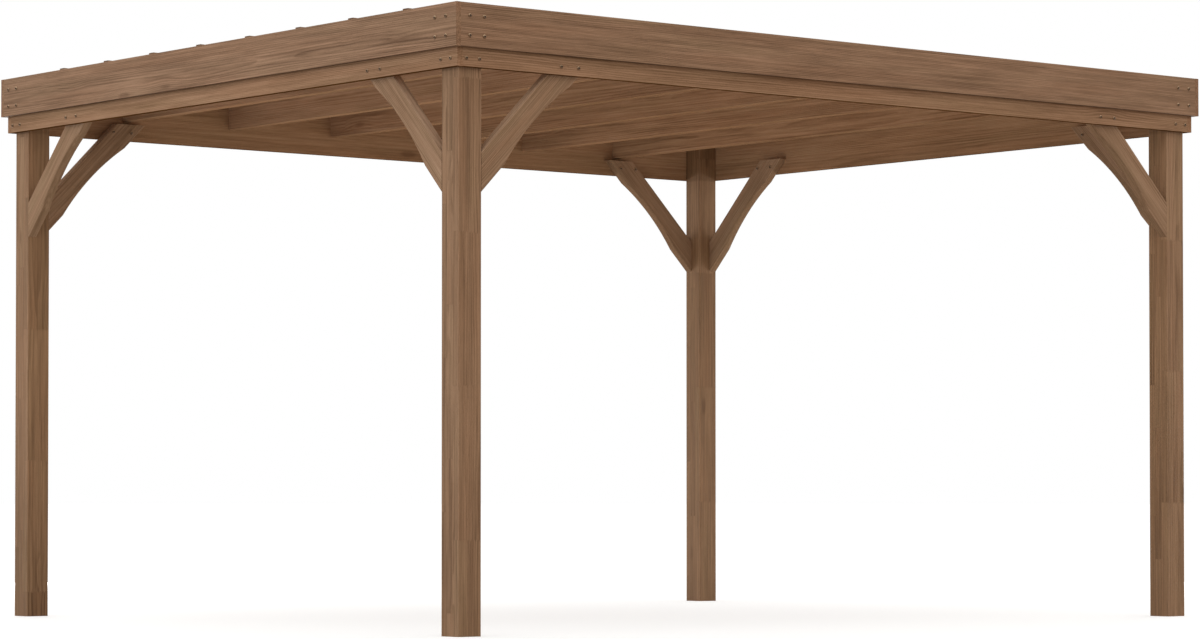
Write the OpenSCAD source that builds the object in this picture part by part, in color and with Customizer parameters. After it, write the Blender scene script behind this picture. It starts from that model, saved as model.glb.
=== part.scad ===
// Freestanding timber pergola: four glulam posts, a ring beam with an outer fascia,
// eight curved knee braces, rafters, a boarded deck and battens.
// Origin: centre of the footprint on the ground. X runs along the long side, Z is up.

/* [Overall] */
// Length over the fascias, along X
roof_length = 4388; // [3000:1:6000]
// Width over the fascias, along Y
roof_width = 3608; // [2600:1:5000]
// Headroom from the ground to the underside of the ring beam
headroom = 2288; // [2000:1:2600]

/* [Posts] */
// Side of the square glulam post
post_size = 115; // [80:1:160]
// Radius of the eased long edges of the posts
post_arris = 4; // [1:0.5:10]

/* [Ring beam and fascia] */
// Height of the ring-beam boards
beam_depth = 212; // [160:1:280]
// Thickness of the ring-beam boards
beam_thickness = 28; // [18:1:50]
// Height of the ring beam that shows below the fascia
beam_reveal = 77; // [40:1:110]
// Height of the fascia boards
fascia_depth = 178; // [150:1:260]
// Thickness of the fascia boards
fascia_thickness = 24; // [16:1:40]
// Radius of the eased long edges of the boards
board_arris = 2; // [0.5:0.5:5]

/* [Knee braces] */
// Leg of each brace, the same down the post and along the beam
brace_reach = 575; // [450:5:800]
// Width of the plank that the brace is cut from
brace_width = 115; // [90:1:150]
// Thickness of the brace
brace_thickness = 45; // [30:1:70]
// Straight length left at each end of the curved lower edge, measured along a leg
brace_shoulder = 117; // [60:1:150]
// Depth of the curve in the lower edge
brace_sag = 24; // [5:1:45]
// Leg of the bevel planed along the long edges of the braces
brace_bevel = 3; // [1:0.5:8]

/* [Roof] */
// Number of rafters
rafter_count = 6; // [4:1:8]
// Height of the rafters
rafter_depth = 120; // [80:5:140]
// Thickness of the rafters
rafter_thickness = 45; // [35:1:80]
// Gap between the head of a brace and the underside of the rafters
brace_head_gap = 15; // [5:1:30]
// Thickness of the boarded deck
deck_thickness = 20; // [16:1:28]
// Gap between the deck and the fascia
deck_edge_gap = 3; // [1:1:8]
// Number of battens
batten_count = 8; // [5:1:10]
// Width of the battens
batten_width = 38; // [30:1:70]
// Height of the battens
batten_depth = 44; // [18:1:60]
// Gap between the end of a batten and the fascia, where water runs off the deck
batten_end_gap = 46; // [10:1:100]

/* [Hidden] */
SIDES = ["front", "back", "left", "right"];
ENDS = ["left", "right"];
DEPTHS = ["front", "back"];

ARC_FACETS = 360;
ARRIS_FACETS = 24;

// Heights
fascia_bottom = headroom + beam_reveal;
beam_top = headroom + beam_depth;
rafter_bottom = beam_top - rafter_depth;
brace_top = rafter_bottom - brace_head_gap;
deck_top = beam_top + deck_thickness;

// Knee brace: the plumb height of its seat, and the arc that hollows its lower edge
brace_seat = brace_width * sqrt(2);
brace_middle = brace_reach / 2;
arc_chord = (brace_reach - 2 * brace_shoulder) * sqrt(2);
arc_radius = (pow(arc_chord / 2, 2) + pow(brace_sag, 2)) / (2 * brace_sag);
arc_out = (arc_radius - brace_sag) / sqrt(2);
arc_centre = [brace_middle + arc_out, brace_middle - arc_out];

// Half extents of the nested rings, from the fascia inwards
fascia_half = [roof_length / 2, roof_width / 2];
beam_half = [for (h = fascia_half) h - fascia_thickness];
frame_half = [for (h = beam_half) h - beam_thickness];
post_centre = [for (h = frame_half) h - post_size / 2];

wood_light = [0.55, 0.43, 0.34];
wood_mid = [0.51, 0.38, 0.29];
wood_dark = [0.45, 0.33, 0.24];

function side_of(name) = name == "left" || name == "front" ? -1 : 1;

// Rectangular timber section with eased corners, centred on the origin.
module timber_section(width, depth, arris) {
    square([width - 2 * arris, depth], center = true);
    square([width, depth - 2 * arris], center = true);
    for (sx = [-1, 1], sy = [-1, 1])
        translate([sx * (width / 2 - arris), sy * (depth / 2 - arris)])
            circle(r = arris, $fn = ARRIS_FACETS);
}

// A section drawn across and up, carried along X or Y and centred on the origin.
module along_x(length) {
    rotate([90, 0, 90]) linear_extrude(height = length, center = true) children();
}

module along_y(length) {
    rotate([90, 0, 0]) linear_extrude(height = length, center = true) children();
}

module post(depth_name, end_name) {
    color(wood_mid)
        translate([side_of(end_name) * post_centre.x, side_of(depth_name) * post_centre.y, 0])
            linear_extrude(height = beam_top) timber_section(post_size, post_size, post_arris);
}

// One board of a rectangular ring whose outer half extents are given.
// The back board runs through, the side boards butt against it and cover the ends of the front one.
module ring_board(side, half, thickness, depth, bottom) {
    sign = side_of(side);
    middle = bottom + depth / 2;
    if (side == "back")
        translate([0, half.y - thickness / 2, middle])
            along_x(2 * half.x) timber_section(thickness, depth, board_arris);
    else if (side == "front")
        translate([0, -half.y + thickness / 2, middle])
            along_x(2 * (half.x - thickness)) timber_section(thickness, depth, board_arris);
    else
        translate([sign * (half.x - thickness / 2), -thickness / 2, middle])
            along_y(2 * half.y - thickness) timber_section(thickness, depth, board_arris);
}

module ring_beam(side) {
    color(wood_mid) ring_board(side, beam_half, beam_thickness, beam_depth, headroom);
}

module fascia(side) {
    color(wood_light) ring_board(side, fascia_half, fascia_thickness, fascia_depth, fascia_bottom);
}

// Face of a brace: plumb seat on the post at x = 0, level head at y = brace_reach,
// straight upper edge, and a lower edge hollowed by one arc between two straight shoulders.
module brace_face() {
    difference() {
        polygon([
            [0, 0],
            [brace_reach, brace_reach],
            [brace_reach - brace_seat, brace_reach],
            [0, brace_seat]
        ]);
        translate(arc_centre) circle(r = arc_radius, $fn = ARC_FACETS);
    }
}

// Section of the cut that bevels an edge standing at the origin.
module bevel_cut() {
    rotate(45) square(brace_bevel * sqrt(2), center = true);
}

// Cuts that bevel one face of a brace: along the lower edge, the upper edge and the arc.
module brace_edge_cuts() {
    run = brace_reach * sqrt(2) + 2 * brace_bevel;
    for (rise = [0, brace_seat / 2])
        translate([brace_middle - rise, brace_middle + rise, 0])
            rotate([0, 0, 45]) along_x(run) bevel_cut();
    translate(arc_centre) rotate_extrude($fn = ARC_FACETS) translate([arc_radius, 0]) bevel_cut();
}

// A brace lying on its face, its thickness up.
module brace_body() {
    difference() {
        linear_extrude(height = brace_thickness) brace_face();
        for (level = [0, brace_thickness]) translate([0, 0, level]) brace_edge_cuts();
    }
}

// Brace in the plane of the front or back, from the post at the named end.
module long_side_brace(depth_name, end_name) {
    color(wood_light)
        mirror([end_name == "left" ? 1 : 0, 0, 0])
            mirror([0, depth_name == "front" ? 1 : 0, 0])
                translate([frame_half.x - post_size, frame_half.y, brace_top - brace_reach])
                    mirror([1, 0, 0]) rotate([90, 0, 0]) brace_body();
}

// Brace in the plane of the left or right end, from the post at the named depth.
module short_side_brace(end_name, depth_name) {
    color(wood_light)
        mirror([end_name == "left" ? 1 : 0, 0, 0])
            mirror([0, depth_name == "front" ? 1 : 0, 0])
                translate([frame_half.x, frame_half.y - post_size, brace_top - brace_reach])
                    rotate([90, 0, 270]) brace_body();
}

// Rafters and battens stand at equal pitches inside the ring beam.
module rafter(index) {
    pitch = 2 * frame_half.x / (rafter_count + 1);
    color(wood_dark)
        translate([index * pitch - frame_half.x, 0, rafter_bottom + rafter_depth / 2])
            along_y(2 * frame_half.y) timber_section(rafter_thickness, rafter_depth, board_arris);
}

module batten(index) {
    pitch = 2 * frame_half.y / (batten_count + 1);
    color(wood_mid)
        translate([0, index * pitch - frame_half.y, deck_top + batten_depth / 2])
            along_x(2 * (beam_half.x - batten_end_gap))
                timber_section(batten_width, batten_depth, board_arris);
}

module roof_deck() {
    color(wood_dark)
        translate([0, 0, beam_top + deck_thickness / 2])
            cube([
                2 * (beam_half.x - deck_edge_gap),
                2 * (beam_half.y - deck_edge_gap),
                deck_thickness
            ], center = true);
}

for (d = DEPTHS, e = ENDS)
    post(d, e);
for (s = SIDES)
    ring_beam(s);
for (s = SIDES)
    fascia(s);
for (d = DEPTHS, e = ENDS)
    long_side_brace(d, e);
for (e = ENDS, d = DEPTHS)
    short_side_brace(e, d);
for (i = [1:rafter_count])
    rafter(i);
roof_deck();
for (i = [1:batten_count])
    batten(i);
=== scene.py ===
"""Freestanding timber pergola: the finish of every member, the boarded deck, the fixings and a plain stage.

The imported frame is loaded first. Each operator below finishes one kind of member or makes one kind of piece.
Lengths are in metres, X runs along the long side, Y to the back and Z up.
"""

import math
from functools import reduce

import bpy
import numpy as np
from bpy.props import FloatProperty, FloatVectorProperty, IntProperty, PointerProperty
from bpy.types import NodeSocket, Operator, Panel, PropertyGroup
from mathutils import Matrix, Vector


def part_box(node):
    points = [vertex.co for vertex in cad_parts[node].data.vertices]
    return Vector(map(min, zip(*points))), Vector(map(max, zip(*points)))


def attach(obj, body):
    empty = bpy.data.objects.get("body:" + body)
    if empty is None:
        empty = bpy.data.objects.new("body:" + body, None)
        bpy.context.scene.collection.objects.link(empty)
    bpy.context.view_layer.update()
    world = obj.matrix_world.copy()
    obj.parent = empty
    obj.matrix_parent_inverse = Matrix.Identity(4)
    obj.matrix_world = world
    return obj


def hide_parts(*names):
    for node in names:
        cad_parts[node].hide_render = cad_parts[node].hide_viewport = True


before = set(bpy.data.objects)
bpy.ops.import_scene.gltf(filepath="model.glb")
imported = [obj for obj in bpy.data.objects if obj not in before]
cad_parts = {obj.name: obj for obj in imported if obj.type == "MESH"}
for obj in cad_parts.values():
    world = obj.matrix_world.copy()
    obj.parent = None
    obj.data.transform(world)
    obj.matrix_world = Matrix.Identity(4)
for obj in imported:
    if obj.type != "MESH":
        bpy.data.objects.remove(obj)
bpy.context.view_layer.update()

bl_info = {
    "name": "Timber Pergola",
    "version": (1, 0, 0),
    "blender": (4, 5, 0),
    "location": "3D View > Sidebar > Pergola",
    "description": "Finishes a timber pergola and lays its deck boards and fixings",
    "category": "Add Mesh",
}

BODY = "root"
SIDES = ("front", "back", "left", "right")
DEPTHS = ("front", "back")
ENDS = ("left", "right")
X, Y, Z = np.eye(3)
WHITE = (1.0, 1.0, 1.0)
ORIGIN = (0.0, 0.0, 0.0)


# Sizes and colours that a user may change


def colour(name, description, value):
    """A colour property, given as linear red, green and blue."""
    return FloatVectorProperty(
        name=name, description=description, default=value, subtype="COLOR", size=3, min=0.0, max=1.0
    )


def length(name, description, value, low=0.0, high=10.0):
    """A length property in metres."""
    return FloatProperty(
        name=name, description=description, default=value, min=low, max=high, subtype="DISTANCE", unit="LENGTH",
        precision=4,
    )


def factor(name, description, value, high=1.0):
    """A plain share or strength."""
    return FloatProperty(name=name, description=description, default=value, min=0.0, max=high, subtype="FACTOR")


def bearing(name, description, degrees):
    """An angle property, given in degrees."""
    return FloatProperty(
        name=name, description=description, default=math.radians(degrees), subtype="ANGLE", unit="ROTATION"
    )


class PergolaTimber(PropertyGroup):
    """The stained timber: its colours, the scale of its figure, its wear, and the painted shade and painted light on
    some faces.
    """

    fascia_tone: colour("Fascia", "Stain of the fascia boards", (0.225, 0.127, 0.073))
    beam_tone: colour("Ring beam", "Stain of the ring-beam boards", (0.277, 0.158, 0.092))
    post_tone: colour("Posts", "Stain of the glued posts", (0.204, 0.1145, 0.062))
    brace_tone: colour("Braces", "Stain of the knee braces", (0.258, 0.156, 0.094))
    rafter_tone: colour("Rafters", "Stain of the rafters", (0.306, 0.171, 0.095))
    deck_tone: colour("Deck", "Stain of the deck boards", (0.294, 0.164, 0.090))
    batten_tone: colour("Battens", "Stain of the battens", (0.225, 0.138, 0.085))
    contrast: factor("Contrast", "Difference between pale and dark streaks", 0.95, 3.0)
    tint: factor("Tint", "Difference between the reddish and the olive patches", 0.24, 1.5)
    ring_width: length("Ring width", "Spacing of the growth rings", 0.0065, 0.001, 0.03)
    streak: length("Streak", "Width of the long streaks across the grain", 0.010, 0.002, 0.06)
    wander: length("Wander", "How far the grain drifts off line along a board", 0.022, 0.0, 0.1)
    knots: factor("Knots", "How strongly the knots show", 0.55)
    brace_plank: length("Brace plank", "Width of the plank that a brace is cut from", 0.115, 0.05, 0.3)
    # The paler band along the edges is partly wear from rubbing and partly a painted highlight
    edge_reach: length("Edge reach", "Width of the paler rub along the eased edges", 0.0045, 0.0, 0.03)
    # Painted shadow: a dark line painted under a board that stands out, where its shadow falls
    dirt_line: length("Dirt line", "Height of the dark line under a board that stands out", 0.014, 0.001, 0.1)
    dirt: factor("Overhang shadow", "Strength of that dark line", 0.31)
    # Painted light: a paler band high on the inner faces of the ring beam, where the deck and rafters shade them
    dry: factor("Inner light", "Paler stain on the inner faces of the ring beam between the rafters", 0.42)
    right_posts: factor("Right posts", "Paler stain on the two posts at the right end", 0.19)
    end_braces: factor("End braces", "Paler stain on the braces of the two ends than on the others", 0.16)
    # Darker towards the foot of a post and paler towards the top
    splash: factor("Foot darkening", "Deeper stain at the foot of a post, where rain is thrown up", 0.34)
    splash_reach: length("Splash reach", "Height at which that has faded", 1.35)
    # Painted light and shade: rafters paler on the left and darker towards the right, as light falls on them
    drift: factor("Rafter shade", "Deeper stain on each rafter than on the one to its left", 0.08)
    lamella: length("Lamella", "Thickness of the layers that the posts are glued from", 0.0393, 0.01, 0.1)
    block: length("Block", "Length between the finger joints in a layer", 0.62, 0.1, 3.0)
    relief: length("Relief", "Height of the grain on a sawn face", 0.0005, 0.0, 0.003)


class PergolaDeck(PropertyGroup):
    """The boards of the roof deck."""

    boards: IntProperty(name="Boards", description="Number of boards across the width", default=37, min=10, max=80)
    joint: length("Joint", "Depth and half width of the chamfered joint under the boards", 0.004, 0.0005, 0.01)
    top_gap: length("Top gap", "Half width of the gap between boards seen from above", 0.0008, 0.0001, 0.004)
    rebate: length("Rebate", "Depth from the top face to the tongue", 0.012, 0.004, 0.018)


class PergolaFixings(PropertyGroup):
    """The screws that show."""

    head: length("Head", "Diameter of a structural screw head", 0.0165, 0.004, 0.03)
    rise: length("Rise", "How far a screw head stands off the timber", 0.0045, 0.0005, 0.008)
    drive: length("Drive", "Diameter of the star recess", 0.0080, 0.001, 0.015)
    small_head: length("Small head", "Diameter of a batten screw head", 0.009, 0.003, 0.02)
    metal: colour("Coating", "Colour of the coated steel", (0.130, 0.070, 0.034))
    # Paler coating on the top of each head: partly wear, partly a painted highlight
    rubbed: colour("Worn and highlit coating", "Colour where rain and dust have rubbed the coating", (0.550, 0.380, 0.240))
    # Painted shade: a darker colour inside the recess, where shade falls
    recess: colour("Recess", "Colour inside the recess", (0.050, 0.028, 0.014))


class PergolaStage(PropertyGroup):
    """Floor, light and camera."""

    floor: colour("Floor", "Colour of the floor", (0.50, 0.50, 0.50))
    lift: factor("Lift", "Whiteness added to the floor as the camera sees it", 0.54, 2.0)
    sky: factor("Sky", "Strength of the even light from all round", 1.04, 4.0)
    left_key: factor("Left key", "Strength of the soft light on the left side", 0.31, 10.0)
    front_key: factor("Front key", "Strength of the soft light on the front", 0.10, 10.0)
    low: FloatVectorProperty(
        name="Low lamps", description="Power of the low lamps in front, behind, on the left and on the right",
        default=(55.0, 230.0, 105.0, 230.0), size=4, min=0.0,
    )
    bounce: FloatProperty(
        name="Bounce", description="Power of the light thrown up from the ground under the roof",
        default=21.0, min=0.0,
    )
    heading: bearing("Heading", "Direction of view from the back axis towards the right", 38.98448)
    pitch: bearing("Pitch", "Upward tilt of the camera", 1.37489)
    eye: FloatVectorProperty(
        name="Eye", description="Place of the camera", default=(-11.06781, -13.68208, 0.55178), size=3,
        subtype="TRANSLATION", unit="LENGTH", precision=5,
    )
    lens: FloatProperty(name="Lens", description="Focal length in millimetres", default=111.531, min=10.0, max=500.0)
    rise: FloatProperty(name="Lens rise", description="Vertical shift of the lens", default=0.0754, min=-1.0, max=1.0)


GROUPS = {
    "pergola_timber": PergolaTimber,
    "pergola_deck": PergolaDeck,
    "pergola_fixings": PergolaFixings,
    "pergola_stage": PergolaStage,
}


# Laying nodes


def wire(socket, value):
    """Feeds a socket from another socket, or sets it to a constant. A colour of three numbers is opaque."""
    if isinstance(value, NodeSocket):
        socket.id_data.links.new(value, socket)
    elif hasattr(value, "__len__"):
        value = list(value)
        opaque = len(value) == 3 and len(socket.default_value) == 4
        socket.default_value = value + [1.0] if opaque else value
    elif value is not None:
        socket.default_value = value


def wire_all(sockets, **values):
    """Feeds sockets by name. An underscore in a keyword stands for a space in the socket's name."""
    for key, value in values.items():
        wire(sockets[key.replace("_", " ")], value)


def lay(kind, *inputs, tree=None, feed=None, **settings):
    """A node of the given kind, with its settings, its inputs by order, and its inputs by name under 'feed'.

    It goes to the tree named, or else to that of the first socket which feeds it.
    """
    feed = feed or {}
    feeding = (each.id_data for each in (*inputs, *feed.values()) if isinstance(each, NodeSocket))
    made = (tree or next(feeding)).nodes.new("ShaderNode" + kind)
    for key, value in settings.items():
        setattr(made, key, value)
    for socket, value in zip(made.inputs, inputs):
        wire(socket, value)
    wire_all(made.inputs, **feed)
    return made


def calc(operation, *terms):
    """The result of one arithmetic step."""
    return lay("Math", *terms, operation=operation).outputs[0]


def add(*terms):
    """The sum of two numbers or more."""
    return reduce(lambda so_far, term: calc("ADD", so_far, term), terms)


def mul(*terms):
    """The product of two numbers or more."""
    return reduce(lambda so_far, term: calc("MULTIPLY", so_far, term), terms)


def sub(one, other):
    """The difference of two numbers."""
    return calc("SUBTRACT", one, other)


def turn(operation, *terms):
    """The result of one vector step: a vector, or a number for a length or a dot product."""
    made = lay("VectorMath", *terms, operation=operation)
    return made.outputs["Value" if operation in {"LENGTH", "DOT_PRODUCT"} else "Vector"]


def parts(vector):
    """The three numbers of a vector."""
    return lay("SeparateXYZ", vector).outputs[:]


def joined(*numbers):
    """A vector from three numbers."""
    return lay("CombineXYZ", *numbers).outputs[0]


def step(value, low, high, out_low=0.0, out_high=1.0):
    """A smooth rise from out_low to out_high while the value goes from low to high."""
    made = lay("MapRange", value, low, high, out_low, out_high, interpolation_type="SMOOTHSTEP")
    return made.outputs[0]


def noise(vector, along, across, detail=2.0, rough=0.5, output="Fac"):
    """Fractal noise about a half, with so many waves to a metre along X and across it."""
    waves = (along, across, across)
    if isinstance(across, NodeSocket):
        waves = joined(*waves)
    feed = {"Vector": turn("MULTIPLY", vector, waves), "Scale": 1.0, "Detail": detail, "Roughness": rough}
    return lay("TexNoise", feed=feed).outputs[output]


def blend(share, low, high, mode="MIX"):
    """Two colours mixed by a share."""
    inputs = (share, None, None, None, None, None, low, high)
    return lay("Mix", *inputs, data_type="RGBA", blend_type=mode).outputs[2]


def new_group(name, inputs, outputs):
    """The two ends of an empty shader group, with inputs by name and value, and outputs by name."""
    tree = bpy.data.node_groups.new(name, "ShaderNodeTree")
    kinds = {float: "NodeSocketFloat", tuple: "NodeSocketVector", list: "NodeSocketColor"}
    for label, value in inputs.items():
        socket = tree.interface.new_socket(label, in_out="INPUT", socket_type=kinds[type(value)])
        socket.default_value = value
    for label in outputs.split():
        kind = {"Color": list, "Start": tuple}.get(label, float)
        tree.interface.new_socket(label, in_out="OUTPUT", socket_type=kinds[kind])
    return tree.nodes.new("NodeGroupInput").outputs, tree.nodes.new("NodeGroupOutput").inputs


def placed(tree, group, **feed):
    """The outputs of a group node in a material, fed by name."""
    return lay("Group", tree=tree, node_tree=bpy.data.node_groups[group], feed=feed).outputs


# Effects shared by the materials

# Ranges over which a mask rises: from, to and, where given, the values at the two ends
KNOT_RARITY = (0.60, 0.66)
KNOT_SWELL = (0.42, 0.04)
KNOT_HEART = (0.15, 0.07)
LATE_WOOD_RISE = (0.35, 0.88)
LATE_WOOD_DROP = (1.0, 0.92)
RING_PATCHES = (0.30, 0.70, 0.35, 1.0)
PORES = (0.62, 0.74)
RUB_HIGHLIGHT_PATCHES = (0.35, 0.65, 0.35, 1.0)
RUB_HIGHLIGHT_FADE = (1.0, 0.3)
CUT_ACROSS = (0.55, 0.85)
LOOKS_DOWN = (-0.25, -0.70)
LOOKS_UP = (0.45, 0.65)
LOOKS_INWARD = (0.35, 0.60)
FINGER_LINE = (0.0016, 0.0004)
GLUE_LINE = (0.0011, 0.0003)
COATING_PATCHES = (0.40, 0.64, 0.45, 1.0)
COATING_UPWARD = (0.02, 0.38)

# Figure: cells to a metre that may hold a knot, how far a knot pushes the rings out, how many rings they waver by,
# how dark the pores are, and shares of the relief
KNOT_WAVES = (2.3, 7.5, 7.5)
KNOT_PUSH, RING_WAVER, PORE_DARKNESS = 0.016, 1.6, 0.25
RING_RELIEF, FIBRE_RELIEF, HOLLOW_RELIEF = 0.55, 0.5, -0.6

# Each part of the figure that shades the stain, its weight and its middle value
SHADING = (("Streaks", 2.0, 0.5), ("Tone", 0.9, 0.5), ("Fibres", 0.9, 0.5), ("Rings", -0.55, 0.22))

# Roughness of the stain, what pale streaks and end grain add to it, and what rubbing takes off
STAIN_ROUGHNESS, STREAK_ROUGHNESS, END_ROUGHNESS, RUB_POLISH = 0.66, 0.25, 0.15, 0.08

# Washes that multiply the stain: the swings of hue and depth, then each mask's strength and wash as laid
HUE_SWING = 5.0
REDDISH, OLIVE = (1.06, 0.95, 0.88), (0.94, 1.04, 0.96)
PALER, DEEPER = (1.55, 1.62, 1.74), (0.48, 0.43, 0.38)
WASHES = (
    ("Knots", 0.85, (0.42, 0.34, 0.30)),
    ("End Grain", 1.0, (0.95, 0.92, 0.90)),
    # Paler along the edges: partly wear from rubbing, partly a painted highlight
    ("Edge", 0.5, (1.26, 1.32, 1.42)),
    ("Joint", 0.22, (0.62, 0.56, 0.50)),
    # Painted light: paler upper faces, and a paler band high on the inner faces of the ring beam
    ("Bleached", 1.0, (1.90, 2.04, 2.24)),
    # Painted shade on the faces that look inwards, under the roof
    ("Sheltered", 1.0, (0.90, 0.87, 0.80)),
    # Painted shade on faces that look down, and a painted shadow line under a board that stands out
    ("Damp", 1.0, (0.33, 0.245, 0.135)),
)

# Finger joints: half their pitch, and the run of a finger for each unit of its width
FINGER_PITCH, FINGER_SLOPE = 0.0042, 2.6
# How far apart the figures of neighbouring blocks or boards start
START_SPREAD = 9.0


def sawn_grain_group():
    """Figure of sawn softwood as a solid pattern with the grain along X.

    The growth rings are cylinders about a pith line that runs beside the board: the distance from it, divided by
    the ring width, rises through one ring and drops at the next. Noise that changes slowly along the grain and
    quickly across it moves the rings off line, and knots swell them. Fibres are noise drawn out along the grain.
    """
    feed, out = new_group(
        "Sawn Grain",
        {"Vector": ORIGIN, "Start": ORIGIN, "Pith": (0.0, 0.05, -0.12), "Ring Width": 0.0065,
         "Wander": 0.022, "Streak": 0.010, "Knots": 0.5},
        "Rings Streaks Fibres Tone Hue Knots Height",
    )
    place = turn("ADD", feed["Vector"], feed["Start"])
    drift = turn("SUBTRACT", noise(place, along=0.8, across=4.5, output="Color"), (0.5, 0.5, 0.5))
    drift = turn("MULTIPLY", drift, joined(0.0, feed["Wander"], feed["Wander"]))
    flow = turn("SUBTRACT", turn("ADD", feed["Vector"], drift), feed["Pith"])

    cell = lay("TexVoronoi", feed={"Vector": turn("MULTIPLY", place, KNOT_WAVES), "Scale": 1.0}).outputs
    rare = step(parts(cell["Color"])[0], *KNOT_RARITY)
    swell = mul(step(cell["Distance"], *KNOT_SWELL), rare, feed["Knots"])
    heart = mul(step(cell["Distance"], *KNOT_HEART), rare, feed["Knots"])

    _, across, up = parts(flow)
    reach = add(turn("LENGTH", joined(0.0, across, up)), mul(swell, KNOT_PUSH))
    waver = mul(noise(place, along=2.0, across=22.0), RING_WAVER)
    within = calc("FRACT", add(calc("DIVIDE", reach, feed["Ring Width"]), waver))
    late = mul(step(within, *LATE_WOOD_RISE), step(within, *LATE_WOOD_DROP))
    patchy = step(noise(place, along=1.1, across=16.0, detail=1.0), *RING_PATCHES)

    streaks_to_metre = calc("DIVIDE", 1.0, feed["Streak"])
    fibres = noise(place, along=14.0, across=620.0, detail=3.0, rough=0.6)
    pores = step(noise(place, along=38.0, across=1500.0, detail=1.0), *PORES)
    elsewhere = turn("ADD", place, (7.0, 3.0, 5.0))
    raised = add(mul(late, RING_RELIEF), mul(fibres, FIBRE_RELIEF))
    wire_all(
        out,
        Rings=mul(late, patchy),
        Streaks=noise(place, along=2.4, across=streaks_to_metre, detail=3.0, rough=0.62),
        Fibres=sub(fibres, mul(pores, PORE_DARKNESS)),
        Tone=noise(place, along=1.6, across=11.0),
        Hue=noise(elsewhere, along=1.2, across=16.0, detail=1.0),
        Knots=heart,
        Height=add(raised, mul(add(pores, heart), HOLLOW_RELIEF)),
    )


def stained_timber_group():
    """Colour and roughness of translucent stain over the figure.

    The body colour drifts between reddish and olive. It is lifted or deepened by a sum of the signed masks, each
    about nought, then the other masks are washed over it in turn: knots, end grain and joints belong to the timber,
    the edge band is partly wear and partly a painted highlight, and the rest are painted shade and painted light.
    """
    feed, out = new_group(
        "Stained Timber",
        {"Body": [0.25, 0.15, 0.09, 1.0], "Contrast": 0.8, "Tint": 0.5, "Shade": 0.0, "Rings": 0.0, "Streaks": 0.5,
         "Fibres": 0.5, "Tone": 0.5, "Hue": 0.5, "Knots": 0.0, "End Grain": 0.0, "Edge": 0.0, "Joint": 0.0,
         "Damp": 0.0, "Bleached": 0.0, "Sheltered": 0.0},
        "Color Roughness",
    )

    def signed(name, weight, middle=0.5):
        return mul(sub(feed[name], middle), weight)

    def washed(under, share, wash):
        return blend(share, under, blend(1.0, under, wash, "MULTIPLY"))

    def swung(under, swing, above, below):
        over = washed(under, calc("MAXIMUM", swing, 0.0), above)
        return washed(over, calc("MAXIMUM", mul(swing, -1.0), 0.0), below)

    total = add(*[signed(*part) for part in SHADING])
    stain = swung(feed["Body"], mul(signed("Hue", HUE_SWING), feed["Tint"]), REDDISH, OLIVE)
    stain = swung(stain, add(mul(total, feed["Contrast"]), feed["Shade"]), PALER, DEEPER)
    for mask, strength, wash in WASHES:
        stain = washed(stain, mul(feed[mask], strength), wash)
    rough = add(STAIN_ROUGHNESS, signed("Streaks", STREAK_ROUGHNESS), mul(feed["End Grain"], END_ROUGHNESS))
    wire_all(out, Color=stain, Roughness=sub(rough, mul(feed["Edge"], RUB_POLISH)))


def eased_edge_group():
    """Mask of the long edges of a rectangular member: nearness of both sides at once, broken by noise.

    The stain is paler there, partly as wear from rubbing and partly as a painted highlight.
    """
    feed, out = new_group(
        "Eased Edge", {"Vector": ORIGIN, "Half Width": 0.05, "Half Depth": 0.05, "Reach": 0.004}, "Mask"
    )
    _, across, up = parts(feed["Vector"])
    side = sub(feed["Half Width"], calc("ABSOLUTE", across))
    face = sub(feed["Half Depth"], calc("ABSOLUTE", up))
    far = calc("DIVIDE", calc("MAXIMUM", side, face), feed["Reach"])
    rubbed = step(noise(feed["Vector"], along=5.0, across=40.0, detail=3.0), *RUB_HIGHLIGHT_PATCHES)
    wire_all(out, Mask=mul(step(far, *RUB_HIGHLIGHT_FADE), rubbed))


def facing_group():
    """Masks by the way a face looks: along the member, where it is cut across the grain, down, up, and inwards."""
    feed, out = new_group("Facing", {"Along": (1.0, 0.0, 0.0), "Inward": ORIGIN}, "End Under Over Inner")
    normal = lay("NewGeometry", tree=feed["Along"].id_data).outputs["True Normal"]
    cut = calc("ABSOLUTE", turn("DOT_PRODUCT", normal, feed["Along"]))
    level = parts(normal)[2]
    wire_all(
        out,
        End=step(cut, *CUT_ACROSS),
        Under=step(level, *LOOKS_DOWN),
        Over=step(level, *LOOKS_UP),
        Inner=step(turn("DOT_PRODUCT", normal, feed["Inward"]), *LOOKS_INWARD),
    )


def by_chance(dimensions, **feed):
    """The outputs of a hash of what feeds it."""
    return lay("TexWhiteNoise", noise_dimensions=dimensions, feed=feed).outputs


def wire_own_look(out, chance):
    """Gives each block or board a signed shade and a start for its figure."""
    start = turn("SCALE", chance["Color"], None, None, START_SPREAD)
    wire_all(out, Shade=sub(chance["Value"], 0.5), Start=start)


def off_whole(number, unit):
    """The distance of a number from the nearest whole one, as a length in which one is the given unit."""
    past = sub(calc("FRACT", add(number, 0.5)), 0.5)
    return mul(calc("ABSOLUTE", past), unit)


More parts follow.
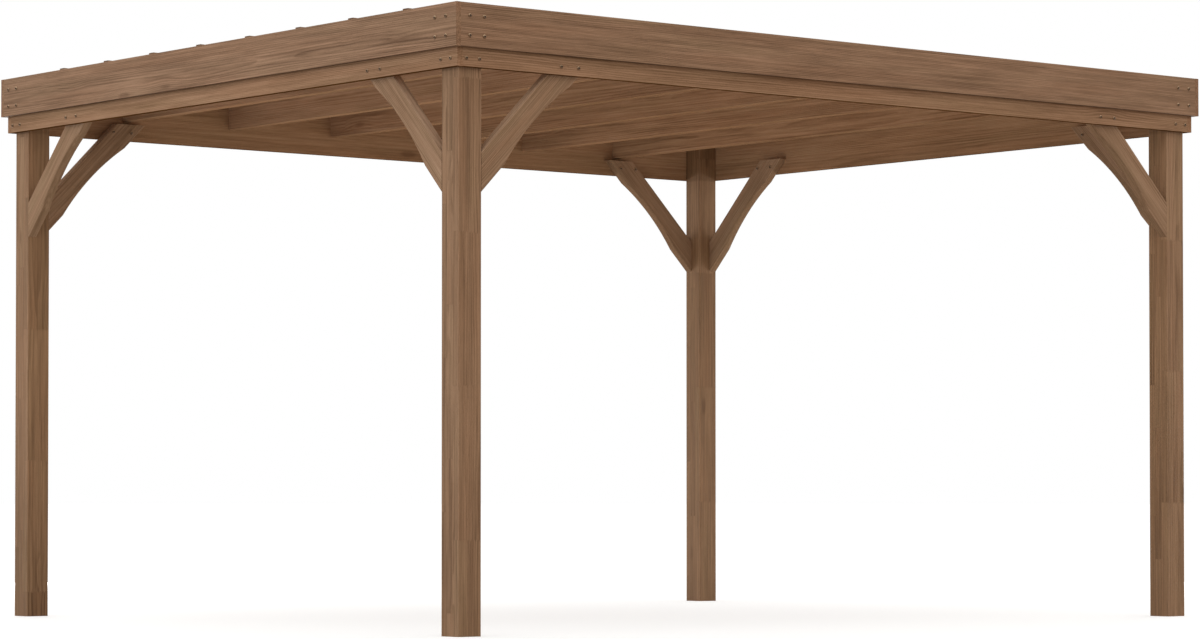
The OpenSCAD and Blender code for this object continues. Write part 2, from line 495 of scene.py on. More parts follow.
def glued_blocks_group():
    """Layers glued face to face, each made of blocks joined by fingers.

    A layer is the whole part of the height over its thickness, counted from just outside the post so that its faces
    lie within the outer layers. A block is the whole part of the length over its own, started elsewhere in each
    layer. A hash of the two shades the block and shifts its grain. The joint is a thin line between layers, and one
    across them that zigzags as interlocked fingers do.
    """
    inputs = {"Vector": ORIGIN, "Lamella": 0.0393, "Base": 0.059, "Block": 0.62, "Seed": 0.0}
    feed, out = new_group("Glued Blocks", inputs, "Shade Joint Start")
    along, across, up = parts(feed["Vector"])
    height = calc("DIVIDE", add(up, feed["Base"]), feed["Lamella"])
    layer = calc("FLOOR", height)
    shift = by_chance("2D", Vector=joined(layer, feed["Seed"], 0.0))["Value"]
    finger = mul(calc("PINGPONG", across, FINGER_PITCH), FINGER_SLOPE)
    run = add(calc("DIVIDE", add(along, finger), feed["Block"]), shift)
    fingers = step(off_whole(run, feed["Block"]), *FINGER_LINE)
    seams = step(off_whole(height, feed["Lamella"]), *GLUE_LINE)
    wire_all(out, Joint=calc("MAXIMUM", fingers, seams))
    wire_own_look(out, by_chance("3D", Vector=joined(calc("FLOOR", run), layer, feed["Seed"])))


def board_lay_group():
    """Boards side by side across Y: a hash of the board's number shades it and shifts its grain."""
    feed, out = new_group("Board Lay", {"Vector": ORIGIN, "Pitch": 0.1, "Low": -1.0}, "Shade Start")
    beyond = sub(parts(feed["Vector"])[1], feed["Low"])
    wire_own_look(out, by_chance("1D", W=calc("FLOOR", calc("DIVIDE", beyond, feed["Pitch"]))))


def rubbed_coating_group():
    """Mask of paler coating, most where a screw head looks up, and of grit, by noise at the scale of the head.

    The paler coating is partly wear and partly a painted highlight on the top of each head.
    """
    feed, out = new_group("Rubbed Coating", {"Vector": ORIGIN}, "Rub Grit")
    level = parts(lay("NewGeometry", tree=feed["Vector"].id_data).outputs["True Normal"])[2]
    patches = noise(feed["Vector"], along=220.0, across=220.0, detail=3.0)
    wire_all(
        out,
        Rub=mul(step(level, *COATING_UPWARD), step(patches, *COATING_PATCHES)),
        Grit=noise(feed["Vector"], along=1800.0, across=1800.0),
    )


# Materials

# Masks of the grain that the stain takes as they are
FIGURE = ("Rings", "Streaks", "Fibres", "Tone", "Hue", "Knots")
# How far from the origin a member's figure may start, and how far the pith line may run from its middle
FIGURE_SPREAD, PITH_REACH = 40.0, (0.05, 0.16)
# Shading by chance: of a whole member, of a glued block and of a deck board
MEMBER_SHADE, BLOCK_SHADE, BOARD_SHADE = 0.10, 0.42, 0.50
# Shares of the darkening at the foot and of the paling at the top of a post, and the height over which the painted
# light on an inner face fades in
FOOT_SHARE, TOP_SHARE, INNER_LIGHT_FADE = -0.55, 0.45, 0.04
# Coating: its reflection and least roughness, then what grit adds to that, its height and how strongly it shows
COATING_POLISH, COATING_ROUGHNESS = 0.2, 0.30
GRIT_ROUGHNESS, GRIT_RELIEF, GRIT_STRENGTH = 0.25, 0.0001, 0.5
# Recess: how much paler it is where the coating is worn or has its painted highlight, and its roughness
RECESS_RUB_HIGHLIGHT, RECESS_ROUGHNESS = 2.0, 0.6


def empty_material(name):
    """A material with a Principled shader alone, its tree, and that shader's inputs."""
    material = bpy.data.materials.new(name)
    material.use_nodes = True
    tree = material.node_tree
    return material, tree, tree.nodes["Principled BSDF"].inputs


def member_axes(along, up):
    """Unit axes of a member: along its grain, across it, and up its section, as rows."""
    along = np.array(along, float) / np.linalg.norm(along)
    across = np.cross(up, along)
    across /= np.linalg.norm(across)
    return np.array([along, across, np.cross(along, across)])


def timber(name, tone, axes, centre, half, seed, laminated=False, boards=None, edge=1.0, damp=0.0, bleached=0.0,
           inward=ORIGIN, polish=0.0, overhung=None, dry=None, lift=0.0, vivid=1.0, splash=0.0):
    """Stained timber for one member.

    Object coordinates are centred on the member and turned so that X runs along its grain. The seed starts the
    solid pattern elsewhere in each member and moves the pith line round it. Half is half of its section.

    laminated, glued from layers; boards, the pitch and the low edge of boards side by side; edge, how wide the paler
    band along its edges is, partly wear from rubbing and partly a painted highlight; damp, how much painted shade
    darkens its undersides; bleached, how much painted light pales its upper faces; inward, the way that faces look
    which get painted shade; polish, its reflection; overhung, the level of a board that stands out over it, under
    which lies a line of painted shadow; dry, the level above which its inner face gets painted light; lift, paler all
    over; vivid, stronger figure; splash, darker towards the foot and paler towards the top.
    """
    look = bpy.context.scene.pergola_timber
    material, tree, shader = empty_material(name)
    whole = lay("TexCoord", tree=tree).outputs["Object"]
    level = parts(whole)[2]
    angles = Matrix(axes.tolist()).to_euler("XYZ")
    moved = -(axes @ np.array(centre))
    place = lay("Mapping", feed={"Vector": whole, "Rotation": angles, "Location": moved}).outputs["Vector"]

    rng = np.random.default_rng(seed)
    start = rng.uniform(-FIGURE_SPREAD, FIGURE_SPREAD, 3)
    around = rng.uniform(0.0, 2 * math.pi)
    off = rng.uniform(*PITH_REACH)
    pith = (0.0, off * math.cos(around), off * math.sin(around))
    shade, joint, parted = rng.uniform(-MEMBER_SHADE, MEMBER_SHADE) + lift, 0.0, None
    if laminated:
        parted = placed(
            tree, "Glued Blocks", Vector=place, Lamella=look.lamella, Base=1.5 * look.lamella, Block=look.block,
            Seed=float(seed),
        )
        joint = parted["Joint"]
    elif boards:
        parted = placed(tree, "Board Lay", Vector=place, Pitch=boards[0], Low=boards[1])
    if parted:
        start = turn("ADD", parted["Start"], start)
        shade = add(mul(parted["Shade"], BLOCK_SHADE if laminated else BOARD_SHADE), shade)
    # Darker towards the foot of a post and paler towards the top
    if splash:
        washed = step(level, 0.0, look.splash_reach, FOOT_SHARE * splash, TOP_SHARE * splash)
        shade = add(shade, washed)

    grain = placed(
        tree, "Sawn Grain", Vector=place, Start=start, Pith=pith, Ring_Width=look.ring_width,
        Wander=look.wander, Streak=look.streak, Knots=look.knots,
    )
    looks = placed(tree, "Facing", Along=axes[0], Inward=inward)
    # Painted shade on the faces that look down
    dark = mul(looks["Under"], damp)
    # Painted shadow: a dark line just under the board that stands out over this one
    if overhung:
        line = step(level, overhung - look.dirt_line, overhung, 0.0, look.dirt)
        dark = calc("MAXIMUM", dark, line)
    # Painted light on the faces that look up
    pale = mul(looks["Over"], bleached)
    # Painted light on the inner face above the rafters' lower edge, where the deck and rafters shade it
    if dry:
        band = mul(looks["Inner"], step(level, dry - INNER_LIGHT_FADE, dry, 0.0, look.dry))
        pale = calc("MAXIMUM", pale, band)
    # Paler along the edges: partly wear from rubbing, partly a painted highlight
    rubbed = placed(
        tree, "Eased Edge", Vector=place, Half_Width=half[0], Half_Depth=half[1], Reach=look.edge_reach * edge
    )
    # The faces that look inwards get painted shade
    stain = placed(
        tree, "Stained Timber", Body=tone, Contrast=look.contrast * vivid, Tint=look.tint, Shade=shade, Joint=joint,
        End_Grain=looks["End"], Sheltered=looks["Inner"], Damp=dark, Bleached=pale, Edge=rubbed["Mask"],
        **{mask: grain[mask] for mask in FIGURE},
    )
    bump = lay("Bump", feed={"Distance": look.relief, "Height": grain["Height"]})
    wire_all(
        shader, Base_Color=stain["Color"], Roughness=stain["Roughness"], Specular_IOR_Level=polish,
        Normal=bump.outputs["Normal"],
    )
    return material


def coated_steel():
    """Brown coated steel of the screw heads, paler in places and on top: partly wear, partly a painted highlight."""
    fix = bpy.context.scene.pergola_fixings
    material, tree, shader = empty_material("coated_steel")
    worn = placed(tree, "Rubbed Coating", Vector=lay("TexCoord", tree=tree).outputs["Object"])
    bump = lay("Bump", feed={"Strength": GRIT_STRENGTH, "Distance": GRIT_RELIEF, "Height": worn["Grit"]})
    wire_all(
        shader, Base_Color=blend(worn["Rub"], fix.metal, fix.rubbed), Specular_IOR_Level=COATING_POLISH,
        Roughness=add(COATING_ROUGHNESS, mul(worn["Grit"], GRIT_ROUGHNESS)), Normal=bump.outputs["Normal"],
    )
    return material


def recess_coating():
    """Painted shade: a darker coating colour inside the star recess, where shade falls, paler where the head has its
    painted highlight.
    """
    dark = bpy.context.scene.pergola_fixings.recess
    material, tree, shader = empty_material("recess_coating")
    worn = placed(tree, "Rubbed Coating", Vector=lay("TexCoord", tree=tree).outputs["Object"])
    paler = [RECESS_RUB_HIGHLIGHT * c for c in dark]
    wire_all(shader, Base_Color=blend(worn["Rub"], dark, paler), Roughness=RECESS_ROUGHNESS)
    return material


def coat(node, *finish, **how):
    """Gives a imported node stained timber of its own."""
    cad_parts[node].data.materials[0] = timber(node + "_timber", *finish, **how)


def coat_box_member(node, tone, along, up, seed, **how):
    """Finishes a packed member that is a straight length of rectangular section."""
    low, high = corners(node)
    axes = member_axes(along, up)
    half = np.abs(axes) @ ((high - low) / 2)
    coat(node, tone, axes, (low + high) / 2, half[1:], seed, **how)


# Meshes


def new_mesh(name, points, faces, materials, index=None):
    """A flat-shaded mesh object from a whole array of points and one of triangles."""
    points = np.asarray(points, np.float32)
    faces = np.asarray(faces, np.int32)
    mesh = bpy.data.meshes.new(name)
    mesh.vertices.add(len(points))
    mesh.vertices.foreach_set("co", points.ravel())
    mesh.loops.add(faces.size)
    mesh.loops.foreach_set("vertex_index", faces.ravel())
    mesh.polygons.add(len(faces))
    mesh.polygons.foreach_set("loop_start", 3 * np.arange(len(faces), dtype=np.int32))
    for material in materials:
        mesh.materials.append(material)
    if index is not None:
        mesh.polygons.foreach_set("material_index", np.asarray(index, np.int32))
    mesh.shade_flat()
    mesh.update(calc_edges=True)
    mesh.validate()
    made = bpy.data.objects.new(name, mesh)
    bpy.context.scene.collection.objects.link(made)
    return made


def new_piece(name, points, faces, materials, index=None):
    """A mesh that is part of the pergola. It rides on the root body."""
    piece = new_mesh(name, points, faces, materials, index)
    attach(piece, BODY)
    return piece


def fan(rim, apex):
    """Triangles from each edge of a closed rim to one point."""
    return np.stack([np.full(len(rim), apex), rim, np.roll(rim, -1)], 1)


def between(rim, other):
    """Two triangles for each edge of a closed rim and the like edge of another."""
    after, other_after = np.roll(rim, -1), np.roll(other, -1)
    return np.concatenate([np.stack([rim, after, other_after], 1), np.stack([rim, other_after, other], 1)])


def swept_boards(section, low, high, middles):
    """Boards with one closed section, given as across and up, carried straight along X and repeated across Y.

    A board's points are its section at each end, moved to the board's middle. Its sides join like points of the two
    ends, and each end is a fan about the section's centre.
    """
    ring = np.vstack([section, np.mean(section, 0)])
    count = len(section)
    places = np.zeros((len(middles), 2, count + 1, 3))
    places[..., 0] = np.array([low, high])[:, None]
    places[..., 1] = ring[:, 0] + np.asarray(middles)[:, None, None]
    places[..., 2] = ring[:, 1]
    rim = np.arange(count)
    other = rim + count + 1
    one = np.concatenate([between(rim, other), fan(rim, count)[:, ::-1], fan(other, 2 * count + 1)])
    first = 2 * (count + 1) * np.arange(len(middles))
    return places.reshape(-1, 3), (one + first[:, None, None]).reshape(-1, 3)


# Outline of a head from its rim up to the recess, as shares of its radius and of its rise
DOMED = ((1.0, -0.2), (1.0, 0.25), (0.90, 0.62), (0.70, 0.90))
FLAT = ((1.0, -0.2), (0.90, 0.70))
# Star recess: how far its lobes swell it, how wide its foot is, and the levels of foot, middle and base
LOBE_SWELL, FOOT_WIDTH = 0.16, 0.94
FOOT_LEVEL, MIDDLE_LEVEL, BASE_LEVEL = 0.22, 0.15, -0.2
# Batten and deck screws have fewer points, because they are small
BATTEN_HEAD = {"rise": 0.0012, "drive": 0.0042, "around": 12, "lobes": 6, "outline": FLAT}
DECK_HEAD = {"radius": 0.0038, "rise": 0.0008, "drive": 0.0030, "around": 8, "lobes": 4, "outline": FLAT}


def screw_head(radius, rise, drive, around, lobes, outline):
    """A low head with a star recess, standing on the plane up = 0.

    A grid of rings round the axis. The radius and the height follow the outline from the rim to the recess, whose
    radius swells once for each lobe by a cosine, drops by its depth and closes at a point. The underside closes at a
    point just below the plane. Returns the points, the triangles, and one for each triangle in the recess.
    """
    angle = np.linspace(0.0, 2 * math.pi, around, endpoint=False)
    star = drive / 2 * (1.0 + LOBE_SWELL * np.cos(lobes * angle))
    reach = np.array([np.full(around, share * radius) for share, _ in outline] + [star, FOOT_WIDTH * star])
    level = rise * np.array([share for _, share in outline] + [1.0, FOOT_LEVEL])
    grid = np.stack([reach * np.cos(angle), reach * np.sin(angle), np.repeat(level[:, None], around, 1)], 2)
    points = np.vstack([grid.reshape(-1, 3), [[0, 0, BASE_LEVEL * rise], [0, 0, MIDDLE_LEVEL * rise]]])
    rims = np.arange(len(level) * around).reshape(-1, around)
    skin = [between(lower, upper) for lower, upper in zip(rims, rims[1:])]
    base, floor = fan(rims[0], len(points) - 2)[:, ::-1], fan(rims[-1], len(points) - 1)
    faces = np.concatenate([*skin, base, floor])
    recess = np.zeros(len(faces), np.int32)
    recess[-4 * around:-2 * around] = 1
    recess[-around:] = 1
    return points, faces, recess


def set_heads(name, places, normals, slot, seed, **head):
    """One piece of many heads: each stands on its place, looks along its normal and is turned at random.

    They are the heads of structural screws, unless other sizes are given.
    """
    fix = bpy.context.scene.pergola_fixings
    usual = {"radius": fix.head / 2, "rise": fix.rise, "drive": fix.drive, "around": 24, "lobes": 6, "outline": DOMED}
    points, faces, recess = screw_head(**(head or usual))
    spin = np.random.default_rng(seed).uniform(0, 2 * math.pi, len(places))[:, None]
    first = np.cross(np.where(np.abs(normals[:, 2:3]) > 0.5, X, Z), normals)
    second = np.cross(normals, first)
    axis = first * np.cos(spin) + second * np.sin(spin)
    turned = np.stack([axis, np.cross(normals, axis), normals], 1)
    every = places[:, None] + points @ turned
    triangles = faces + (np.arange(len(places)) * len(points))[:, None, None]
    steel = [bpy.data.materials.get(make.__name__) or make() for make in (coated_steel, recess_coating)]
    new_piece(name, every.reshape(-1, 3), triangles.reshape(-1, 3), steel, np.tile(recess, len(places)))


# Where things are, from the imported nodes


def corners(node):
    """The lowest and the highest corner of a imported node, as arrays."""
    low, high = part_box(node)
    return np.array(low), np.array(high)


def numbered(kind):
    """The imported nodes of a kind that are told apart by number, in order."""
    return sorted(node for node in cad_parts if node.startswith(kind + "_"))


def outward(side):
    """The direction that a side of the pergola faces."""
    return {"front": -Y, "back": Y, "left": -X, "right": X}[side]


def along_side(side):
    """The direction that a side runs in, towards the back or the right."""
    return X if side in DEPTHS else Y


def brace_sides():
    """The side that each brace lies in and the side whose post it stands on, in order."""
    return [(d, e) for d in DEPTHS for e in ENDS] + [(e, d) for e in ENDS for d in DEPTHS]


def face_points(kind, runs, levels):
    """Points on the outer faces of a ring of four boards, and the way each face looks.

    Runs are measured from both corners of the ring's outline inwards, along each side in turn, and levels are
    heights above the ground.
    """
    boxes = {side: corners(f"{kind}_{side}") for side in SIDES}
    low, high = np.min([box[0] for box in boxes.values()], 0), np.max([box[1] for box in boxes.values()], 0)
    places = []
    for side, (own_low, own_high) in boxes.items():
        facing, running = outward(side), along_side(side)
        plane = np.where(facing > 0, own_high, own_low) * np.abs(facing)
        ends = np.concatenate([low @ running + runs, high @ running - runs])
        places.append(plane + ends[:, None, None] * running + np.array(levels)[:, None] * Z)
    count = places[0].size // 3
    return np.concatenate(places).reshape(-1, 3), np.repeat([outward(side) for side in SIDES], count, 0)


def crossings(lines, rows, level):
    """Points where lines across X meet rows across Y at a level, and the upward direction at each."""
    across_x, across_y = (each.ravel() for each in np.meshgrid(lines, rows, indexing="ij"))
    places = np.column_stack([across_x, across_y, np.full(across_x.size, level)])
    return places, np.repeat(Z[None], len(places), 0)


def deck_lay(deck):
    """The deck's lowest and highest corner, the pitch of its boards and the middle of each."""
    low, high = corners("roof_deck")
    pitch = (high[1] - low[1]) / deck.boards
    return low, high, pitch, low[1] + pitch * (np.arange(deck.boards) + 0.5)


# Operators

# First seed of each kind of timber, and the seed of each kind of screw
POST_SEED, BEAM_SEED, FASCIA_SEED, BRACE_SEED, RAFTER_SEED, BATTEN_SEED, DECK_SEED = 11, 31, 51, 71, 91, 111, 131
FASCIA_SCREWS, BEAM_SCREWS, BRACE_SCREWS, BATTEN_SCREWS, DECK_SCREWS = 5, 6, 7, 8, 9

# Screws at each end of a fascia board: runs from the corner, and drops from the top edge
FASCIA_RUNS, FASCIA_DROPS = np.array([0.069, 0.142]), np.array([0.0525, 0.132])
# Screws of the ring beam: runs from the corner into a post, runs from a post into a brace's head, and their height
BEAM_RUNS, BRACE_HEAD_RUNS, BEAM_RISE = (0.045, 0.111), np.array([0.388, 0.478]), 0.0345
# Screws of a brace: runs from the post, and drop from the head
BRACE_RUNS, BRACE_DROP = np.array([0.395, 0.495]), 0.041
# Deck boards: half the gap between them below, how far off the middle they are screwed, as a share of a board, and
# a half section so large that no edge gets the pale band of wear and painted highlight
SIDE_GAP, SCREW_SPREAD, NO_EDGE_BAND = 0.0001, 0.28, (10.0, 10.0)


class PERGOLA_OT_effects(Operator):
    """Builds the shader groups that the finishes share"""

    bl_idname = "pergola.effects"
    bl_label = "Shared effects"

    def execute(self, context):
        for build in (sawn_grain_group, stained_timber_group, eased_edge_group, facing_group, glued_blocks_group,
                      board_lay_group, rubbed_coating_group):
            build()
        return {"FINISHED"}


class PERGOLA_OT_posts(Operator):
    """Finishes the four glued posts"""

    bl_idname = "pergola.posts"
    bl_label = "Posts"

    def execute(self, context):
        look, level = context.scene.pergola_timber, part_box("ring_beam_front")[0][2]
        for seed, (depth, end) in enumerate(((d, e) for d in DEPTHS for e in ENDS), POST_SEED):
            coat_box_member(
                f"post_{depth}_{end}", look.post_tone, Z, Y, seed, laminated=True, edge=1.3, polish=0.12,
                inward=-outward(depth) - outward(end), overhung=level, lift=look.right_posts * (end == "right"),
                vivid=1.2, splash=look.splash,
            )
        return {"FINISHED"}


class PERGOLA_OT_ring_beam(Operator):
    """Finishes the ring-beam boards"""

    bl_idname = "pergola.ring_beam"
    bl_label = "Ring beam"

    def execute(self, context):
        tone, level = context.scene.pergola_timber.beam_tone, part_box("fascia_front")[0][2]
        for seed, side in enumerate(SIDES, BEAM_SEED):
            coat_box_member(
                f"ring_beam_{side}", tone, along_side(side), Z, seed, damp=1.0, inward=-outward(side),
                overhung=level, dry=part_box("rafter_1")[0][2],
            )
        return {"FINISHED"}


class PERGOLA_OT_fascia(Operator):
    """Finishes the fascia boards"""

    bl_idname = "pergola.fascia"
    bl_label = "Fascia"

    def execute(self, context):
        tone = context.scene.pergola_timber.fascia_tone
        for seed, side in enumerate(SIDES, FASCIA_SEED):
            coat_box_member(
                f"fascia_{side}", tone, along_side(side), Z, seed, damp=0.75, bleached=0.2, polish=0.12, vivid=1.35
            )
        return {"FINISHED"}


class PERGOLA_OT_braces(Operator):
    """Finishes the knee braces, with the grain along the slope"""

    bl_idname = "pergola.braces"
    bl_label = "Knee braces"

    def execute(self, context):
        look = context.scene.pergola_timber
        for seed, (side, post_side) in enumerate(brace_sides(), BRACE_SEED):
            low, high = corners(f"brace_{side}_{post_side}")
            inward = -outward(post_side)
            axes = member_axes(inward + Z, Z - inward)
            centre = (low + high) / 2 + axes[2] * look.brace_plank / 2
            half = (np.abs(outward(side)) @ (high - low) / 2, look.brace_plank / 2)
            lift = look.end_braces * (0.5 if side in ENDS else -0.5)
            coat(
                f"brace_{side}_{post_side}", look.brace_tone, axes, centre, half, seed, edge=1.2, damp=0.25,
                bleached=0.6, lift=lift,
            )
        return {"FINISHED"}


class PERGOLA_OT_rafters(Operator):
    """Finishes the rafters"""

    bl_idname = "pergola.rafters"
    bl_label = "Rafters"

    def execute(self, context):
        look, rafters = context.scene.pergola_timber, numbered("rafter")
        for index, node in enumerate(rafters):
            # Painted light and shade: paler on the left-hand rafters and darker towards the right
            lift = look.drift * ((len(rafters) - 1) / 2 - index)
            coat_box_member(node, look.rafter_tone, Y, Z, RAFTER_SEED + index, damp=0.35, edge=0.6, lift=lift)
        return {"FINISHED"}


class PERGOLA_OT_battens(Operator):
    """Finishes the battens on the deck"""

    bl_idname = "pergola.battens"
    bl_label = "Battens"

    def execute(self, context):
        for seed, node in enumerate(numbered("batten"), BATTEN_SEED):
            coat_box_member(node, context.scene.pergola_timber.batten_tone, X, Z, seed, bleached=0.25)
        return {"FINISHED"}


class PERGOLA_OT_deck(Operator):
    """Lays the deck boards, side by side with a chamfered joint underneath, in place of the plain deck"""

    bl_idname = "pergola.deck"
    bl_label = "Deck boards"

    def execute(self, context):
        deck, tone = context.scene.pergola_deck, context.scene.pergola_timber.deck_tone
        low, high, pitch, middles = deck_lay(deck)
        bottom, top, half, gap = low[2], high[2], pitch / 2, deck.top_gap
        tongue = top - deck.rebate
        right = [
            (half - deck.joint, bottom), (half - SIDE_GAP, bottom + deck.joint), (half - SIDE_GAP, tongue),
            (half - gap, tongue), (half - gap, top - gap), (half - 2 * gap, top),
        ]
        section = right + [(-across, up) for across, up in reversed(right)]
        points, faces = swept_boards(section, low[0], high[0], middles)
        centre = (0.0, 0.0, (bottom + top) / 2)
        finish = timber(
            "deck_board_timber", tone, np.eye(3), centre, NO_EDGE_BAND, DECK_SEED, boards=(pitch, low[1])
        )
        piece = new_piece("deck_boards", points, faces, [finish])
        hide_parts("roof_deck")
        return {"FINISHED"}


class PERGOLA_OT_fascia_screws(Operator):
    """Drives four screws through each end of each fascia face"""

    bl_idname = "pergola.fascia_screws"
    bl_label = "Fascia screws"

    def execute(self, context):
        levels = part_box("fascia_front")[1][2] - FASCIA_DROPS
        places, normals = face_points("fascia", FASCIA_RUNS, levels)
        set_heads("fascia_screws", places, normals, "fascia_wood", FASCIA_SCREWS)
        return {"FINISHED"}


class PERGOLA_OT_beam_screws(Operator):
    """Drives two screws through each end of the ring beam into the posts, and two into the head of each brace"""

    bl_idname = "pergola.beam_screws"
    bl_label = "Ring-beam screws"

    def execute(self, context):
        over_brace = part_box("post_front_left")[1][0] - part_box("ring_beam_left")[0][0] + BRACE_HEAD_RUNS
        runs = np.concatenate([BEAM_RUNS, over_brace])
        places, normals = face_points("ring_beam", runs, [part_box("ring_beam_front")[0][2] + BEAM_RISE])
        set_heads("ring_beam_screws", places, normals, "ring_beam_wood", BEAM_SCREWS)
        return {"FINISHED"}


class PERGOLA_OT_brace_screws(Operator):
    """Drives two screws through the inner face of each brace's head into the ring beam"""

    bl_idname = "pergola.brace_screws"
    bl_label = "Brace screws"

    def execute(self, context):
        places, normals = [], []
        for side, post_side in brace_sides():
            low, high = corners(f"brace_{side}_{post_side}")
            facing, inward = -outward(side), -outward(post_side)
            face = np.where(facing > 0, high, low) * np.abs(facing)
            seat = np.where(inward > 0, low, high) * np.abs(inward)
            corner = face + seat + (high[2] - BRACE_DROP) * Z
            places.append(corner + BRACE_RUNS[:, None] * inward)
            normals += [facing] * len(BRACE_RUNS)
        set_heads("brace_screws", np.concatenate(places), np.array(normals), "brace_wood", BRACE_SCREWS)
        return {"FINISHED"}


class PERGOLA_OT_deck_screws(Operator):
    """Drives one screw through each batten and two through each deck board over every rafter"""

    bl_idname = "pergola.deck_screws"
    bl_label = "Deck and batten screws"

    def execute(self, context):
        rafters, battens = ([corners(node) for node in numbered(kind)] for kind in ("rafter", "batten"))
        lines = np.mean(rafters, 1)[:, 0]
        rows = np.mean(battens, 1)[:, 1]
        low, high = battens[0]
        radius = context.scene.pergola_fixings.small_head / 2
        places, up = crossings(lines, rows, high[2])
        set_heads("batten_screws", places, up, "batten_wood", BATTEN_SCREWS, radius=radius, **BATTEN_HEAD)

        clear = (high[1] - low[1]) / 2 + radius
        _, high, pitch, middles = deck_lay(context.scene.pergola_deck)
        across = np.concatenate([middles - SCREW_SPREAD * pitch, middles + SCREW_SPREAD * pitch])
        across = across[np.abs(across[:, None] - rows).min(1) > clear]
        across = across[np.abs(across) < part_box("ring_beam_back")[0][1]]
        places, up = crossings(lines, across, high[2])
        set_heads("deck_screws", places, up, "deck_wood", DECK_SCREWS, **DECK_HEAD)
        return {"FINISHED"}


class PERGOLA_OT_stage(Operator):
    """Sets the floor, the soft light and the camera"""

    bl_idname = "pergola.stage"
    bl_label = "Stage"

    def execute(self, context):
        scene, look = context.scene, context.scene.pergola_stage
        scene.view_settings.view_transform = "Standard"
        make_floor(look)
        make_light(scene, look)
        aim_camera(scene, look)
        return {"FINISHED"}


# Floor: radii of its middle and its rim, number of rings and points in each, then how far its colour varies, its
# roughness and its reflection
FLOOR_RADII = (0.5, 400.0)
FLOOR_RINGS, FLOOR_POINTS = 12, 64
FLOOR_VARIES, FLOOR_ROUGHNESS, FLOOR_POLISH = 0.015, 0.9, 0.1
# Soft suns: spread and dip in degrees and their level, then heading and tint by name
KEY_SPREAD, KEY_DIP, KEY_LEVEL = 15.0, 18.0, 6.0
KEYS = {"left_key": (75.0, (0.94, 0.96, 1.0)), "front_key": (15.0, (1.0, 0.98, 0.96))}
# Low lamps: width and height, distance from the middle, level, level they aim at, and tint by side
LOW_SIZE, LOW_REACH, LOW_LEVEL, LOW_AIM = (5.0, 0.8), 8.0, 0.4, 2.4
LOW_TINTS = {"front": (1.0, 0.82, 0.67), "left": (0.84, 0.92, 1.0)}
# Lamp on the ground under the roof, and the tint of the surround
BOUNCE_SIZE, BOUNCE_LEVEL, BOUNCE_TINT = (3.2, 2.4), 0.3, (1.0, 0.99, 0.82)
SKY_TINT = (1.0, 0.985, 0.955)
# Camera: width of its sensor in millimetres, and the nearest and farthest that it sees
SENSOR_WIDTH, SIGHT = 36.0, (0.1, 1000.0)


def seen_directly(tree):
    """One for rays from the camera, or those mirrored or passed through glass, and nought for the rest."""
    path = lay("LightPath", tree=tree).outputs
    seen = calc("MAXIMUM", path["Is Camera Ray"], path["Is Glossy Ray"])
    return calc("MAXIMUM", seen, path["Is Transmission Ray"])


def make_floor(look):
    """A level round floor: rings whose radius grows by equal ratios, so that the middle is finest."""
    material, tree, shader = empty_material("studio_floor")
    place = lay("TexCoord", tree=tree).outputs["Object"]
    mottle = noise(place, along=1.5, across=1.5, detail=3.0)
    darker, paler = ([min(1.0, by * c) for c in look.floor] for by in (1 - FLOOR_VARIES, 1 + FLOOR_VARIES))
    wire_all(
        shader, Base_Color=blend(mottle, darker, paler), Roughness=FLOOR_ROUGHNESS, Specular_IOR_Level=FLOOR_POLISH,
        Emission_Color=WHITE, Emission_Strength=mul(seen_directly(tree), look.lift),
    )
    angle = np.linspace(0, 2 * math.pi, FLOOR_POINTS, endpoint=False)
    ring = np.stack([np.cos(angle), np.sin(angle), np.zeros(FLOOR_POINTS)], 1)
    radii = np.geomspace(*FLOOR_RADII, FLOOR_RINGS)
    points = np.vstack([(radii[:, None, None] * ring).reshape(-1, 3), [[0, 0, 0]]])
    rims = np.arange(FLOOR_RINGS * FLOOR_POINTS).reshape(-1, FLOOR_POINTS)
    bands = [between(outer, inner) for inner, outer in zip(rims, rims[1:])]
    floor = new_mesh("studio_floor", points, np.concatenate([fan(rims[0], len(points) - 1), *bands]), [material])


def ahead(heading, pitch):
    """The direction of a heading, from the back axis towards the right, and an upward pitch."""
    return Vector((math.sin(heading) * math.cos(pitch), math.cos(heading) * math.cos(pitch), math.sin(pitch)))


def hang(scene, data, place, toward):
    """An object for a lamp or a camera at a place, looking the given way."""
    made = bpy.data.objects.new(data.name, data)
    made.location = place
    made.rotation_mode = "QUATERNION"
    made.rotation_quaternion = Vector(toward).to_track_quat("-Z", "Y")
    scene.collection.objects.link(made)
    return made


def area_light(name, size, power, tint):
    """A rectangular lamp."""
    light = bpy.data.lights.new(name, "AREA")
    light.shape = "RECTANGLE"
    light.size, light.size_y = size
    light.energy, light.color = power, tint
    return light


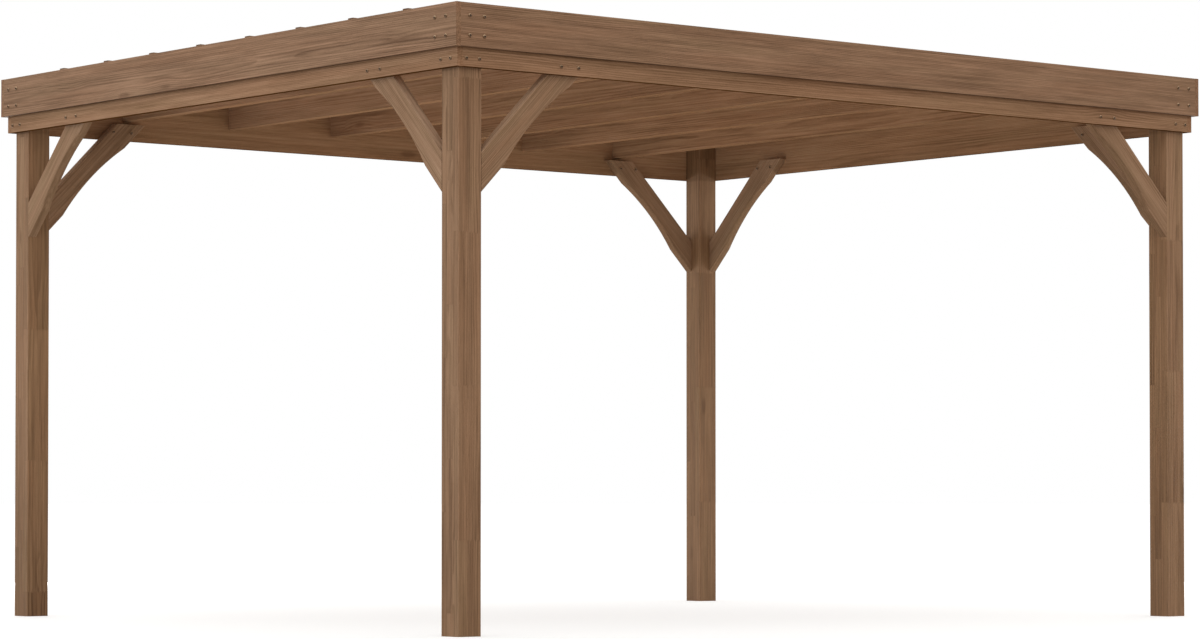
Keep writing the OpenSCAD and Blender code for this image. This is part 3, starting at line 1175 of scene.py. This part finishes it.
def make_light(scene, look):
    """An even white surround, two broad soft lights on the left and the front, and a low lamp on every side.

    The low lamps and the one on the ground in the middle shine up under the roof, as light thrown back by pale
    ground does.
    """
    world = bpy.data.worlds.new("studio_light")
    world.use_nodes = True
    tree = world.node_tree
    surround = tree.nodes["Background"]
    wire_all(surround.inputs, Color=SKY_TINT, Strength=look.sky)
    plain = lay("Background", WHITE, 1.0, tree=tree)
    mix = lay("MixShader", seen_directly(tree), surround.outputs[0], plain.outputs[0])
    wire(tree.nodes["World Output"].inputs["Surface"], mix.outputs[0])
    scene.world = world
    lamps = []
    for name, (heading, tint) in KEYS.items():
        key = bpy.data.lights.new(name, "SUN")
        key.energy, key.angle, key.color = getattr(look, name), math.radians(KEY_SPREAD), tint
        lamps.append(hang(scene, key, KEY_LEVEL * Z, ahead(math.radians(heading), -math.radians(KEY_DIP))))
    for side, power in zip(SIDES, look.low):
        low = area_light(f"low_{side}", LOW_SIZE, power, LOW_TINTS.get(side, WHITE))
        place = LOW_REACH * outward(side) + LOW_LEVEL * Z
        lamps.append(hang(scene, low, place, LOW_AIM * Z - place))
    bounce = area_light("bounce", BOUNCE_SIZE, look.bounce, BOUNCE_TINT)
    lamps.append(hang(scene, bounce, BOUNCE_LEVEL * Z, Z))
    for lamp in lamps:
        lamp.visible_camera = False


def aim_camera(scene, look):
    """Places the camera at its eye, looking along its heading and pitch, with a small lens rise."""
    data = bpy.data.cameras.new("view")
    data.sensor_fit, data.sensor_width = "HORIZONTAL", SENSOR_WIDTH
    data.lens, data.shift_y = look.lens, look.rise
    data.clip_start, data.clip_end = SIGHT
    scene.camera = hang(scene, data, look.eye, ahead(look.heading, look.pitch))


STEPS = (
    PERGOLA_OT_effects, PERGOLA_OT_posts, PERGOLA_OT_ring_beam, PERGOLA_OT_fascia, PERGOLA_OT_braces,
    PERGOLA_OT_rafters, PERGOLA_OT_battens, PERGOLA_OT_deck, PERGOLA_OT_fascia_screws, PERGOLA_OT_beam_screws,
    PERGOLA_OT_brace_screws, PERGOLA_OT_deck_screws, PERGOLA_OT_stage,
)


class PERGOLA_PT_panel(Panel):
    """Lists the steps and their sizes and colours"""

    bl_label = "Timber Pergola"
    bl_idname = "PERGOLA_PT_panel"
    bl_space_type = "VIEW_3D"
    bl_region_type = "UI"
    bl_category = "Pergola"

    def draw(self, context):
        for step_class in STEPS:
            self.layout.operator(step_class.bl_idname)
        for name, group in GROUPS.items():
            box = self.layout.box()
            for field in group.__annotations__:
                box.prop(getattr(context.scene, name), field)


CLASSES = (*GROUPS.values(), *STEPS, PERGOLA_PT_panel)


def register():
    """Registers the classes and puts the property groups on the scene."""
    for each in CLASSES:
        bpy.utils.register_class(each)
    for name, group in GROUPS.items():
        setattr(bpy.types.Scene, name, PointerProperty(type=group))


def unregister():
    """Takes the property groups and classes away again."""
    for name in GROUPS:
        delattr(bpy.types.Scene, name)
    for each in reversed(CLASSES):
        bpy.utils.unregister_class(each)


def main():
    """Runs every step in order."""
    register()
    for each in STEPS:
        family, name = each.bl_idname.split(".")
        getattr(getattr(bpy.ops, family), name)()


if __name__ == "__main__":
    main()
